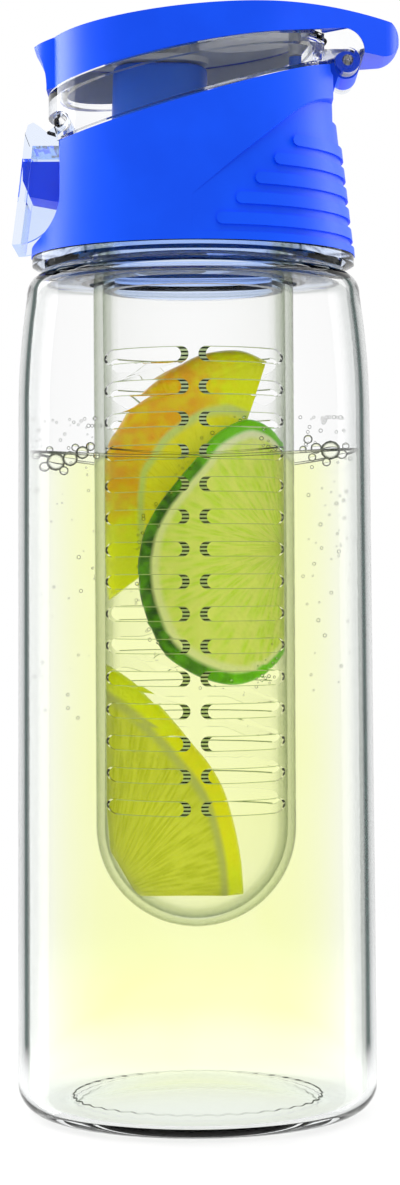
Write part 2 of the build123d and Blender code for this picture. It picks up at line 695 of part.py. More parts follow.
def make_latch():
    """The clear latch clip: a barrel, a windowed plate with two cheeks and a flared tip."""
    top, middle, tip = latch_outer()
    cheek_x = flat_x - LATCH_FLAT_GAP
    scoop_x = flat_x - FLAT_SCOOP_RADIUS
    radius = FLAT_SCOOP_RADIUS - LATCH_FLAT_GAP
    diagonal = radius / math.sqrt(2)
    scoop_mid = (scoop_x + diagonal, scoop_z - diagonal)
    inner_top = (cheek_x, latch_z - LATCH_BARREL_RADIUS)
    shoulder = []
    for place, depth in zip(LATCH_SHOULDER_PLACE_SHARES, LATCH_SHOULDER_DEPTH_SHARES):
        shoulder.append((latch_x - place * LATCH_THICKNESS, latch_z - depth * LATCH_SHOULDER_DEPTH))
    outline = side_face(
        Polyline((latch_x, latch_z), *shoulder, top),
        ThreePointArc(top, middle, tip),
        Polyline(tip, (scoop_x, scoop_z - radius)),
        ThreePointArc((scoop_x, scoop_z - radius), scoop_mid, (cheek_x, scoop_z)),
        Polyline((cheek_x, scoop_z), inner_top, (latch_x, latch_z)),
    )
    clip = side_prism(outline, LATCH_WIDTH)
    clip += crossbar(LATCH_BARREL_RADIUS, latch_x, latch_z, -LATCH_WIDTH / 2, LATCH_WIDTH / 2)
    room_top = latch_z - LATCH_BARREL_RADIUS - LATCH_BRIDGE_HEIGHT
    room_low = tip[1] - OVERRUN
    inner = [(x + LATCH_WALL, z) for x, z in (top, middle, tip)]
    room = side_face(
        ThreePointArc(*inner),
        Polyline(inner[2], (inner[2][0], room_low), (0, room_low)),
        Polyline((0, room_low), (0, room_top), (inner[0][0], room_top), inner[0]),
    )
    pocket = side_prism(room, LATCH_WIDTH - 2 * LATCH_WALL)
    pocket = pocket & block((-model_half, -model_half, room_low), (0, model_half, room_top))
    window_low = casing_base + CATCH_BASE_HEIGHT - LATCH_FLAT_GAP
    window_top = window_low + CATCH_HEIGHT + 2 * LATCH_FLAT_GAP
    half = LATCH_WINDOW_WIDTH / 2
    window = block((-model_half, -half, window_low), (cheek_x, half, window_top))
    pivot = crossbar(LATCH_PIN_RADIUS + RUNNING_GAP, latch_x, latch_z, -LATCH_WIDTH, LATCH_WIDTH)
    return clip - pocket - window - pivot


def make_latch_pin():
    """The steel pin of the latch."""
    half = LATCH_WIDTH / 2 + SEAT_GAP + LATCH_LUG_WIDTH
    return crossbar(LATCH_PIN_RADIUS, latch_x, latch_z, -half, half)


PARTS = {
    "bottle_body": make_bottle,
    "infuser_basket": make_basket,
    "lid_liner": make_liner,
    "neck_seal": make_neck_seal,
    "basket_seal": make_basket_seal,
    "lid_casing": make_casing,
    "drink_deck": make_deck,
    "drink_spout": make_spout,
    "spout_seal": make_spout_seal,
    "vent_valve": make_vent_valve,
    "hinge_pin": make_hinge_pin,
    "cap_shell": make_cap_shell,
    "cap_cover": make_cover,
    "spout_plug": make_spout_plug,
    "vent_plug": make_vent_plug,
    "latch_clip": make_latch,
    "latch_pin": make_latch_pin,
}


def main():
    """Write every piece to its own file."""
    os.makedirs("parts", exist_ok=True)
    for name, maker in PARTS.items():
        export_step(maker(), f"parts/{name}.step")


main()
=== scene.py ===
import bpy
import bmesh
import math
import random
from mathutils import Matrix, Vector


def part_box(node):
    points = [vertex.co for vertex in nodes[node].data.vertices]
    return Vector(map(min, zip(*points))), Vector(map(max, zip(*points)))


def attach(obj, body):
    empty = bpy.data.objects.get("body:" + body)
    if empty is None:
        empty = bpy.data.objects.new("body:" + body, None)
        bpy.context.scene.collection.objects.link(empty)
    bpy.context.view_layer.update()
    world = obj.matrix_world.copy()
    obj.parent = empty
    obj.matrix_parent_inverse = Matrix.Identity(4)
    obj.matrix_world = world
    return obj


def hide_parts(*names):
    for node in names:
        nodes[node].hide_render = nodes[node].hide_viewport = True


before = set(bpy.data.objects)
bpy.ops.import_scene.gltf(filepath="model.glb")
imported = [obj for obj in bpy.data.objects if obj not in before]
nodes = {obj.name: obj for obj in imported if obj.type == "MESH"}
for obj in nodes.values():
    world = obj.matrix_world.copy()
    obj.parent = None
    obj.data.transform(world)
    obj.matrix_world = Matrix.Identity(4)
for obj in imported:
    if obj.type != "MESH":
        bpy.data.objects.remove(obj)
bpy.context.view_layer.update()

# The photo's frame, and the size of one of its pixels on the bottle's axis
PHOTO_WIDTH = 400
PHOTO_HEIGHT = 1185
PIXEL = 0.00021
AXIS_PIXEL_X = 195.0
FLOOR_PIXEL_Y = 1109.0
EYE_PIXEL_Y = 583.0

# The camera: its lens and sensor in millimetres, its roll in degrees, and its place
CAMERA_LENS = 85.0
CAMERA_SENSOR = 36.0
CAMERA_ROLL = 0.33
EYE_DISTANCE = PIXEL * PHOTO_HEIGHT * CAMERA_LENS / CAMERA_SENSOR
EYE_X = (PHOTO_WIDTH / 2 - AXIS_PIXEL_X) * PIXEL
EYE_Z = (FLOOR_PIXEL_Y - EYE_PIXEL_Y) * PIXEL

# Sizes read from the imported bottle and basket
bottle_low, bottle_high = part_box("bottle_body")
basket_low, basket_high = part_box("infuser_basket")
BODY_RADIUS = min(bottle_high.x, -bottle_low.x, bottle_high.y, -bottle_low.y)
BASKET_RADIUS = basket_high.x
NECK_TOP = bottle_high.z

# Sizes of the bottle's outline that the frame doesn't tell, as in the solid
BODY_RADIUS_HIGH = 0.0368
BODY_HEIGHT = 0.145
BODY_WALL = 0.002
HEEL_RADIUS = 0.0062
FOOT_WIDTH = 0.004
PUSH_UP = 0.0042
BASE_THICKNESS = 0.0024
SHOULDER_RISE = 0.025
SHOULDER_DRAW_IN = 0.0019
SHOULDER_ROUND = 0.0054
NECK_RADIUS = 0.0236
NECK_WALL = 0.0018
BASKET_WALL = 0.0017

# How finely the outline is turned and bent
TURN_STEPS = 192
BOW_STEPS = 12
HEEL_STEPS = 14
SHOULDER_STEPS = 12
CREASE_STEPS = 10
MERGE_GAP = 1e-7

# Edges sharper than these angles stay sharp
WALL_ANGLE = 50.0
WATER_ANGLE = 60.0
FRUIT_ANGLE = 55.0
SLOT_ANGLE = 40.0
ROUND_ANGLE = 80.0

# Water in the bottle, and the lines where it climbs the walls
WATER_LEVEL = 0.1368
WATER_GAP = 0.00012
WATER_RINGS = 28
WAVE_HEIGHT = 0.0011
RIPPLE_COUNT = 9.0
RIPPLE_TWIST = 2.0
RIPPLE_SHARE = 0.4
WALL_LINE_INSET = 0.0006
WALL_LINE_RISE = 0.0
WALL_LINE_THICKNESS = 0.0003
BASKET_LINE_INSET = 0.0005
BASKET_LINE_RISE = 0.002
BASKET_LINE_THICKNESS = 0.00018
LINE_POINTS = 48
SPLINE_ORDER = 4
BEVEL_STEPS = 4

# Fruit, in photo pixels: each cut is a fan from its heart to its rim
FRUIT_GAP = 0.0005
FRUIT_MERGE_GAP = 0.00002
RIM_STEPS = 8
RIM_POWER = 14.0
RING_SHARES = (0.02, 0.2, 0.36, 0.5, 0.62, 0.72, 0.8, 0.86, 0.905, 0.94, 0.965, 0.985, 1.0)
PLUMP_SHARE = 0.012
PLUMP_AROUND = 1.7
PLUMP_OUTWARD = 21.0
LIME_RIM = (
    (286, 449), (270, 428), (246, 420), (216, 435), (199, 456), (180, 478), (159, 505), (147, 527),
    (140, 552), (139, 579), (143, 605), (152, 631), (166, 655), (197, 676), (231, 685), (259, 678),
    (278, 661), (289, 640),
)
LIME_HEART = (283, 548)
LIME_DEPTHS = (0.0125, 0.002)
LIME_THICKNESS = 0.0046
ORANGE_RIM = (
    (268, 362), (241, 351), (206, 354), (180, 366), (155, 383), (135, 402), (120, 426), (108, 445),
    (103, 475), (102, 505), (103, 535), (105, 565), (108, 600),
)
ORANGE_HEART = (214, 522)
ORANGE_DEPTHS = (-0.001, -0.003)
ORANGE_THICKNESS = 0.011
LEMON_RIM = (
    (104, 662), (128, 678), (153, 699), (174, 722), (191, 743), (208, 764), (222, 789), (232, 822),
    (239, 860), (241, 893),
)
LEMON_HEART = (107, 893)
LEMON_DEPTHS = (0.001, 0.010)
LEMON_THICKNESS = 0.007

# Basket slots, as in the solid, and the moulded crescents at their ends
FRONT = -1
BACK = 1
SLOT_ROWS = 15
SLOT_HEIGHT = 0.0031
SLOT_PITCH = 0.00659
SLOT_TOP_MARGIN = 0.0336
SLOT_BRIDGE = 0.002
SLOT_SIDE_MARGIN = 0.0014
SLOT_BARS = 4.0
PALE_BAR = 1 / SLOT_BARS
BAR_MIDDLE = 0.5
CRESCENT_WIDTH = 0.0015
CRESCENT_STEPS = 12
LINE_RADIUS = 0.00007
LINE_STEPS = 18
LINE_SIDES = 5

# Bubbles: (x, y, radius) in photo pixels, and the depth in metres
FROTH_LEFT = (
    (58, 461, 9.0, 0.014), (47, 466, 5.0, 0.012), (72, 458, 7.5, 0.016), (84, 452, 6.5, 0.017),
    (66, 470, 4.5, 0.018), (92, 446, 4.5, 0.02), (40, 455, 3.5, 0.012), (77, 447, 4.0, 0.015),
    (98, 455, 3.5, 0.02), (52, 449, 3.6, 0.013),
)
FROTH_RIGHT = (
    (330, 451, 9.5, 0.014), (341, 455, 5.0, 0.012), (316, 449, 5.5, 0.016), (308, 440, 4.5, 0.018),
    (345, 447, 3.5, 0.01), (326, 463, 4.2, 0.016), (312, 458, 4.0, 0.018), (303, 450, 3.6, 0.02),
)
FROTH_SPAN = {"left": (28.0, 100.0), "right": (300.0, 350.0)}
FROTH_TOP = 418.0
FROTH_FOOT = 720.0
FROTH_FALL = 2.2
FROTH_DEPTH = (-0.012, 0.016)
SMALL_BUBBLES = 70
FRUIT_BUBBLES = 90
CLING_X = (-10.0, 6.0)
CLING_Y = (-4.0, 14.0)
CLING_DEPTH = (0.008, 0.016)
SMALL_SIZE = (0.00012, 0.00045)
BUBBLE_ROUNDNESS = 2
SEED = 27

# The wavy line in the foot
FOOT_SCALLOPS = 40
SCALLOP_INSET = 0.0014
SCALLOP_DEPTH = 0.0006

# Light: each lamp's name, place, size and power
AMBIENT = 0.85
WHITE = (1.0, 1.0, 1.0, 1.0)
LAMPS = (
    ("left lamp", (-0.58, 0.33, 0.30), (0.35, 2.0), 16.0),
    ("right lamp", (0.60, 0.30, 0.30), (0.3, 2.0), 8.0),
    ("top lamp", (0.0, -0.15, 0.75), (0.5, 0.5), 2.2),
)
LIGHT_BOUNCES = 32

# The floor: thin near the bottle, and gone further off
FLOOR_SIZE = 3.0
FLOOR_SQUARES = 8
FLOOR_FADE_NEAR = 0.09
FLOOR_FADE_FAR = 0.34
FLOOR_THIN = 0.8
FLOOR_ROUGHNESS = 0.16
FLOOR_GREYS = ((0.93, 0.93, 0.93, 1.0), (0.95, 0.95, 0.95, 1.0))

# How much of the studio a satin plastic mirrors, and a cut fruit or a slot's end
SATIN_GLOSS = 0.12
FRUIT_GLOSS = 0.12

# How handling marks lie, where they show in their noise, and how much they dull a surface
MARK_STRETCH = (1.0, 1.0, 0.18)
MARK_TILT = (0.3, 0.5, 0.0)
MARK_RANGE = (0.5, 0.75)
SATIN_WEAR = 0.12
CLEAR_WEAR = 0.03

# Where the patches of a satin plastic change shade, and how dark silicone's patches are
PATCH_RANGE = (0.3, 0.7)
SILICONE_SHADE = 0.9

# Clear walls, with painted shade where seen edge on: (how edge on the surface is seen, how much light it
# passes)
OUTER_BANDS = (
    (0.0, 0.995), (0.40, 0.985), (0.48, 0.955), (0.555, 0.80), (0.60, 0.74), (0.65, 0.60),
    (0.675, 0.15), (0.695, 0.0), (0.73, 0.05), (0.765, 0.48), (0.85, 0.74), (1.0, 0.70),
)
INNER_BANDS = (
    (0.0, 0.997), (0.55, 0.985), (0.62, 0.93), (0.71, 0.76), (0.78, 0.68), (0.90, 0.58), (1.0, 0.50),
)
BASKET_BANDS = (
    (0.0, 0.992), (0.40, 0.97), (0.50, 0.86), (0.58, 0.66), (0.70, 0.56), (0.78, 0.40), (0.86, 0.14),
    (0.93, 0.40), (1.0, 0.70),
)
LID_BANDS = ((0.0, 0.997), (0.55, 0.98), (0.75, 0.90), (0.90, 0.72), (1.0, 0.80))
LATCH_BANDS = ((0.0, 0.90), (0.30, 0.84), (0.60, 0.62), (0.85, 0.30), (1.0, 0.55))
RING_BANDS = ((0.0, 0.84), (0.4, 0.80), (0.7, 0.90), (0.9, 0.97), (1.0, 0.88))

# How much of each of red, green and blue the bands of painted shade take away
BOTTLE_PAINTED_SHADE_WEIGHTS = (1.0, 0.95, 0.96)
BASKET_PAINTED_SHADE_WEIGHTS = (0.90, 0.82, 1.0)
LID_PAINTED_SHADE_WEIGHTS = (1.0, 0.85, 0.55)
BLUE_PAINTED_SHADE_WEIGHTS = (1.0, 0.66, 0.02)

# The height of the slight ripple in clear plastic
CLEAR_RIPPLE = 0.00004

# The clear foot: heights between which it fades into the wall, and its colour
FOOT_FADE_LOW = 0.007
FOOT_FADE_HIGH = 0.016
FOOT_CLEARNESS = 0.92
FOOT_COLOUR = (0.97, 0.985, 0.985, 1.0)

# The lid's insides, painted lighter as painted light where little light reaches: how far in, how far down
# and how far inwards a surface faces there
PAINTED_LIGHT_UNDERSIDE = (0.95, 0.97, 1.0, 1.0)
PAINTED_LIGHT_BLUE_INSIDE = (0.16, 0.50, 1.0, 1.0)
UNDERSIDE_RADIUS = 0.027
UNDERSIDE_FADE = 0.0008
DOWN_RANGE = (-0.7, -0.4)
INWARD_RANGE = (-0.6, -0.3)

# The water's colours, and where it's pale: seen edge on, and near the foot
WATER_RICH = (0.94, 0.99, 0.42, 1.0)
WATER_LIGHT = (0.97, 1.0, 0.60, 1.0)
WATER_PALE = (0.985, 1.0, 0.95, 1.0)
WATER_SIDE_RANGE = (0.08, 0.72)
WATER_FOOT_RANGE = (0.006, 0.018)

# The painted dark edge of a bubble, and the pale bars and dark bars of painted shade at the ends of the
# slots
BUBBLE_EDGE_RANGE = (0.14, 0.5)
BUBBLE_PAINTED_SHADES = ((0.001, 0.002, 0.001, 1.0), (0.03, 0.04, 0.02, 1.0))
SLOT_BAR_RANGE = (0.20, 0.34)
SLOT_PALES = ((0.34, 0.44, 0.17, 1.0), (0.62, 0.72, 0.42, 1.0))
SLOT_PAINTED_SHADE = (0.006, 0.014, 0.004, 1.0)

# Segments and bars come and go in a wave that turns back half way
HALF_WAVE = 0.5

# Citrus: its membranes and juice cells, and how far its pith and peel start and end from the rind
MEMBRANE_WOBBLE = 0.035
MEMBRANE_WIDTH = 0.09
MEMBRANE_PALENESS = 0.45
CELL_COUNT = 70.0
CELL_ROWS = 7.0
CELL_GLOW_RANGE = (0.1, 0.75)
PITH_START_GAP = 0.07
PITH_END_GAP = 0.02
PEEL_START_GAP = 0.01
PEEL_END_GAP = 0.03
MOTTLE_RANGE = (0.35, 0.7)
PEEL_MOTTLE = 0.45
PORE_HEIGHT = 0.0004


# Places, curves and meshes
def photo_place(px, py, depth=0.0):
    """The place of a photo pixel on the upright plane a depth in front of the bottle's axis."""
    shrink = (EYE_DISTANCE - depth) / EYE_DISTANCE
    x = (px - AXIS_PIXEL_X) * PIXEL
    z = (FLOOR_PIXEL_Y - py) * PIXEL
    return Vector((EYE_X + (x - EYE_X) * shrink, -depth, EYE_Z + (z - EYE_Z) * shrink))


def at_reach(place, reach):
    """A place moved level, so that it lies as far from the bottle's axis as reach."""
    out = math.hypot(place.x, place.y)
    return Vector((place.x * reach / out, place.y * reach / out, place.z))


def link(data, name):
    """A new object for a mesh, a camera or a lamp, in the scene."""
    piece = bpy.data.objects.new(name, data)
    bpy.context.scene.collection.objects.link(piece)
    return piece


def smooth(piece, angle):
    """Smooth shading that keeps edges sharper than an angle."""
    for face in piece.data.polygons:
        face.use_smooth = True
    piece.data.set_sharp_from_angle(angle=math.radians(angle))
    return piece


def from_bmesh(bm, name):
    """A new object from a bmesh, with its faces turned outwards."""
    bmesh.ops.recalc_face_normals(bm, faces=bm.faces)
    mesh = bpy.data.meshes.new(name)
    bm.to_mesh(mesh)
    bm.free()
    return link(mesh, name)


def arc(centre, radius, start, end, steps):
    """Points of an arc in (radius, height), from one angle to another in degrees."""
    points = []
    for i in range(steps + 1):
        turn = math.radians(start + (end - start) * i / steps)
        points.append((centre[0] + radius * math.cos(turn), centre[1] + radius * math.sin(turn)))
    return points


def bow(start, middle, end, steps):
    """Points of a bow from start to end that is drawn towards middle."""
    points = []
    for i in range(steps + 1):
        t = i / steps
        a, b, c = (1 - t) ** 2, 2 * t * (1 - t), t ** 2
        points.append((a * start[0] + b * middle[0] + c * end[0], a * start[1] + b * middle[1] + c * end[1]))
    return points


def curve_through(points, steps):
    """Points of a smooth curve through the given ones, from the first to the last."""
    count = len(points)
    out = []
    for i in range(count - 1):
        before = points[max(i - 1, 0)]
        here, there = points[i], points[i + 1]
        after = points[min(i + 2, count - 1)]
        for step in range(steps):
            t = step / steps
            pair = []
            for a, b, c, d in zip(before, here, there, after):
                bend = (2 * a - 5 * b + 4 * c - d) * t + (3 * b - a - 3 * c + d) * t ** 2
                pair.append(b + ((c - a) + bend) * t / 2)
            out.append(tuple(pair))
    return out + [points[-1]]


def lathe(outline, name):
    """A closed (radius, height) outline turned about the Z axis."""
    bm = bmesh.new()
    columns = []
    for i in range(TURN_STEPS):
        turn = 2 * math.pi * i / TURN_STEPS
        columns.append([bm.verts.new((r * math.cos(turn), r * math.sin(turn), z)) for r, z in outline])
    count = len(outline)
    for i in range(TURN_STEPS):
        here, there = columns[i], columns[(i + 1) % TURN_STEPS]
        for j in range(count):
            k = (j + 1) % count
            if outline[j][0] > 0 or outline[k][0] > 0:
                bm.faces.new((here[j], there[j], there[k], here[k]))
    bmesh.ops.remove_doubles(bm, verts=bm.verts, dist=MERGE_GAP)
    return from_bmesh(bm, name)


# Shared shader effects
def plug(tree, value, socket):
    """Feeds an input from an output, or sets it to a value."""
    if isinstance(value, bpy.types.NodeSocket):
        tree.links.new(value, socket)
    else:
        socket.default_value = value


def feed(tree, node, inputs):
    """Feeds inputs of a node, given by label or by place."""
    for label, value in inputs.items():
        plug(tree, value, node.inputs[label])


def add(tree, kind, inputs=None, **settings):
    """A new node with its settings and its inputs."""
    node = tree.nodes.new(kind)
    for key, value in settings.items():
        setattr(node, key, value)
    feed(tree, node, inputs or {})
    return node


def calc(tree, operation, *values, clamp=False):
    """What a math node works out from outputs and numbers."""
    node = add(tree, "ShaderNodeMath", dict(enumerate(values)), operation=operation, use_clamp=clamp)
    return node.outputs[0]


def mix_colours(tree, factor, first, second):
    """A mix of two colours by a factor."""
    node = add(tree, "ShaderNodeMix", {0: factor, 6: first, 7: second}, data_type="RGBA")
    return node.outputs[2]


def spread(tree, value, low, high, to_low=0.0, to_high=1.0):
    """A value moved from one range to another, with soft ends."""
    inputs = {"Value": value, "From Min": low, "From Max": high, "To Min": to_low, "To Max": to_high}
    return add(tree, "ShaderNodeMapRange", inputs, interpolation_type="SMOOTHSTEP").outputs["Result"]


def bump(tree, height, strength, distance):
    """Surface relief from a height."""
    inputs = {"Height": height, "Strength": strength, "Distance": distance}
    return add(tree, "ShaderNodeBump", inputs).outputs["Normal"]


def object_place(tree):
    """Where a point lies in the object's own space."""
    return add(tree, "ShaderNodeTexCoord").outputs["Object"]


def object_height(tree):
    """How high a point lies in the object's own space."""
    return add(tree, "ShaderNodeSeparateXYZ", {0: object_place(tree)}).outputs["Z"]


def edge_on(tree):
    """How edge on a surface is seen, from 0 face on to 1."""
    return add(tree, "ShaderNodeLayerWeight", {"Blend": 0.5}).outputs["Facing"]


def make_group(name, inputs, outputs):
    """A node group with named inputs and outputs, given as (label, socket kind, value)."""
    group = bpy.data.node_groups.new(name, "ShaderNodeTree")
    for label, kind, value in inputs:
        socket = group.interface.new_socket(label, in_out="INPUT", socket_type=kind)
        socket.default_value = value
    for label, kind in outputs:
        group.interface.new_socket(label, in_out="OUTPUT", socket_type=kind)
    start = group.nodes.new("NodeGroupInput")
    end = group.nodes.new("NodeGroupOutput")
    return group, start, end


def build_moulded_skin():
    """Fine grain and slow shade changes of a moulded plastic surface."""
    group, start, end = make_group(
        "moulded_skin",
        (("Grain Size", "NodeSocketFloat", 0.0004), ("Patch Size", "NodeSocketFloat", 0.02)),
        (("Grain", "NodeSocketFloat"), ("Patches", "NodeSocketFloat")),
    )
    place = object_place(group)
    for size, output, detail in (("Grain Size", "Grain", 2.0), ("Patch Size", "Patches", 3.0)):
        scale = calc(group, "DIVIDE", 1.0, start.outputs[size])
        inputs = {"Vector": place, "Scale": scale, "Detail": detail, "Roughness": 0.55}
        noise = add(group, "ShaderNodeTexNoise", inputs)
        plug(group, noise.outputs["Fac"], end.inputs[output])
    return group


def build_handling_marks():
    """Faint rubbed marks and hairlines that handling leaves on a surface."""
    group, start, end = make_group(
        "handling_marks",
        (("Mark Size", "NodeSocketFloat", 0.012), ("Amount", "NodeSocketFloat", 0.5)),
        (("Marks", "NodeSocketFloat"),),
    )
    inputs = {"Vector": object_place(group), "Scale": MARK_STRETCH, "Rotation": MARK_TILT}
    stretched = add(group, "ShaderNodeMapping", inputs).outputs["Vector"]
    scale = calc(group, "DIVIDE", 1.0, start.outputs["Mark Size"])
    inputs = {"Vector": stretched, "Scale": scale, "Detail": 6.0, "Roughness": 0.7}
    noise = add(group, "ShaderNodeTexNoise", inputs)
    sharp = spread(group, noise.outputs["Fac"], *MARK_RANGE)
    plug(group, calc(group, "MULTIPLY", sharp, start.outputs["Amount"]), end.inputs["Marks"])
    return group


def build_juice_cells():
    """Radial juice cells of cut citrus, from a UV of the turn round the fruit and the way out."""
    group, start, end = make_group(
        "juice_cells",
        (("Segments", "NodeSocketFloat", 10.0), ("Cell Count", "NodeSocketFloat", 60.0)),
        (
            ("Cells", "NodeSocketFloat"), ("Membrane", "NodeSocketFloat"),
            ("Way Out", "NodeSocketFloat"), ("Turn", "NodeSocketFloat"),
        ),
    )
    place = add(group, "ShaderNodeUVMap", uv_map="slice").outputs["UV"]
    split = add(group, "ShaderNodeSeparateXYZ", {0: place})
    turn, way_out = split.outputs["X"], split.outputs["Y"]
    wobble = add(group, "ShaderNodeTexNoise", {"Vector": place, "Scale": 5.0, "Detail": 2.0})
    shift = calc(group, "MULTIPLY_ADD", wobble.outputs["Fac"], MEMBRANE_WOBBLE, turn)
    segment = calc(group, "MULTIPLY", shift, start.outputs["Segments"])
    beside = calc(group, "PINGPONG", segment, HALF_WAVE)
    membrane = spread(group, beside, 0.0, MEMBRANE_WIDTH, 1.0, 0.0)
    across = calc(group, "MULTIPLY", turn, start.outputs["Cell Count"])
    outward = calc(group, "MULTIPLY", way_out, CELL_ROWS)
    stretched = add(group, "ShaderNodeCombineXYZ", {0: across, 1: outward}).outputs[0]
    inputs = {"Vector": stretched, "Scale": 1.0, "Smoothness": 0.6}
    cells = add(group, "ShaderNodeTexVoronoi", inputs, feature="SMOOTH_F1")
    feed(group, end, {
        "Cells": cells.outputs["Distance"], "Membrane": membrane, "Way Out": way_out, "Turn": turn,
    })
    return group


MOULDED_SKIN = build_moulded_skin()
HANDLING_MARKS = build_handling_marks()
JUICE_CELLS = build_juice_cells()


def use_skin(tree, grain_size, patch_size):
    """What a moulded skin placed in a material puts out: its grain and its patches."""
    inputs = {"Grain Size": grain_size, "Patch Size": patch_size}
    return add(tree, "ShaderNodeGroup", inputs, node_tree=MOULDED_SKIN).outputs


def use_marks(tree, mark_size, amount):
    """Handling marks placed in a material."""
    inputs = {"Mark Size": mark_size, "Amount": amount}
    return add(tree, "ShaderNodeGroup", inputs, node_tree=HANDLING_MARKS).outputs["Marks"]


def new_material(name):
    """An empty node material with a Principled shader."""
    material = bpy.data.materials.new(name)
    material.use_nodes = True
    tree = material.node_tree
    tree.nodes.clear()
    shader = add(tree, "ShaderNodeBsdfPrincipled")
    add(tree, "ShaderNodeOutputMaterial", {"Surface": shader.outputs["BSDF"]})
    return material, tree, shader


def painted_light_mask(tree):
    """Where painted light goes: where a surface faces down inside the cap's round, or towards the bottle's
    axis.
    """
    place = add(tree, "ShaderNodeTexCoord")
    normal = place.outputs["Normal"]
    inputs = {0: place.outputs["Object"], 1: (1.0, 1.0, 0.0)}
    flat = add(tree, "ShaderNodeVectorMath", inputs, operation="MULTIPLY").outputs["Vector"]
    away = add(tree, "ShaderNodeVectorMath", {0: flat}, operation="LENGTH").outputs["Value"]
    near = spread(tree, away, UNDERSIDE_RADIUS, UNDERSIDE_RADIUS + UNDERSIDE_FADE, 1.0, 0.0)
    up = add(tree, "ShaderNodeSeparateXYZ", {0: normal}).outputs["Z"]
    down = spread(tree, up, *DOWN_RANGE, 1.0, 0.0)
    unit = add(tree, "ShaderNodeVectorMath", {0: flat}, operation="NORMALIZE").outputs["Vector"]
    outward = add(tree, "ShaderNodeVectorMath", {0: unit, 1: normal}, operation="DOT_PRODUCT")
    inward = spread(tree, outward.outputs["Value"], *INWARD_RANGE, 1.0, 0.0)
    return calc(tree, "MAXIMUM", calc(tree, "MULTIPLY", near, down), inward)


def make_satin_plastic(name, colour, light_colour, roughness, grain, relief, inside=None):
    """Opaque moulded plastic with a fine satin grain, and painted light on its insides where an inside
    colour is given.
    """
    material, tree, shader = new_material(name)
    skin = use_skin(tree, grain_size=grain, patch_size=0.018)
    marks = use_marks(tree, mark_size=0.009, amount=0.4)
    patches = spread(tree, skin["Patches"], *PATCH_RANGE)
    base = mix_colours(tree, patches, colour, light_colour)
    # Painted light: the insides get a lighter colour where little light reaches them.
    if inside:
        base = mix_colours(tree, painted_light_mask(tree), base, inside)
    feed(tree, shader, {
        "Base Color": base,
        "Roughness": calc(tree, "MULTIPLY_ADD", marks, SATIN_WEAR, roughness),
        "Normal": bump(tree, skin["Grain"], strength=0.25, distance=relief),
        "Specular IOR Level": SATIN_GLOSS,
    })
    return material


def make_clear_plastic(name, bands, painted_shade_weights, ior, clear_foot=False, roughness=0.01):
    """Clear moulded plastic with bands of painted shade where it's seen edge on."""
    material, tree, shader = new_material(name)
    # Painted shade: the wall's colour darkens in bands by how edge on it is seen.
    ramp = add(tree, "ShaderNodeValToRGB", {0: edge_on(tree)})
    stops = ramp.color_ramp.elements
    for i, (position, level) in enumerate(bands):
        stop = stops[i] if i < len(stops) else stops.new(position)
        stop.position = position
        stop.color = tuple((1.0 - (1.0 - level) * part) ** 2 for part in painted_shade_weights) + (1.0,)
    colour = ramp.outputs["Color"]
    if clear_foot:
        low = spread(tree, object_height(tree), FOOT_FADE_LOW, FOOT_FADE_HIGH, FOOT_CLEARNESS, 0.0)
        colour = mix_colours(tree, low, colour, FOOT_COLOUR)
    marks = use_marks(tree, mark_size=0.02, amount=0.5)
    skin = use_skin(tree, grain_size=0.006, patch_size=0.03)
    feed(tree, shader, {
        "Base Color": colour,
        "Roughness": calc(tree, "MULTIPLY_ADD", marks, CLEAR_WEAR, roughness),
        "Normal": bump(tree, skin["Grain"], strength=0.3, distance=CLEAR_RIPPLE),
        "Transmission Weight": 1.0,
        "IOR": ior,
    })
    return material


def make_silicone(name, colour):
    """Soft milky silicone."""
    material, tree, shader = new_material(name)
    skin = use_skin(tree, grain_size=0.0006, patch_size=0.006)
    shade = tuple(SILICONE_SHADE * part for part in colour[:3]) + (1.0,)
    feed(tree, shader, {
        "Base Color": mix_colours(tree, skin["Patches"], shade, colour),
        "Normal": bump(tree, skin["Grain"], strength=0.2, distance=0.00003),
        "Roughness": 0.55,
    })
    return material


def make_water(name):
    """Water tinted by the fruit, stronger in the middle and paler at the walls and the foot."""
    material, tree, shader = new_material(name)
    side = spread(tree, edge_on(tree), *WATER_SIDE_RANGE)
    low = spread(tree, object_height(tree), *WATER_FOOT_RANGE, 1.0, 0.0)
    inputs = {"Vector": object_place(tree), "Scale": 38.0, "Detail": 2.0, "Distortion": 0.6}
    cloud = add(tree, "ShaderNodeTexNoise", inputs).outputs["Fac"]
    rich = mix_colours(tree, cloud, WATER_RICH, WATER_LIGHT)
    feed(tree, shader, {
        "Base Color": mix_colours(tree, calc(tree, "MAXIMUM", side, low), rich, WATER_PALE),
        "Transmission Weight": 1.0,
        "Roughness": 0.0,
        "IOR": 1.0,
    })
    return material


def make_bubble(name):
    """The skin of a bubble in water, clear in the middle, with painted shade at its edge."""
    material, tree, shader = new_material(name)
    # Painted shade darkens the bubble towards its edge.
    edge = spread(tree, edge_on(tree), *BUBBLE_EDGE_RANGE)
    inputs = {"Vector": object_place(tree), "Scale": 300.0, "Detail": 1.0}
    tone = add(tree, "ShaderNodeTexNoise", inputs).outputs["Fac"]
    feed(tree, shader, {
        "Base Color": mix_colours(tree, edge, WHITE, mix_colours(tree, tone, *BUBBLE_PAINTED_SHADES)),
        "Transmission Weight": 1.0,
        "Roughness": 0.0,
        "IOR": 1.12,
    })
    return material


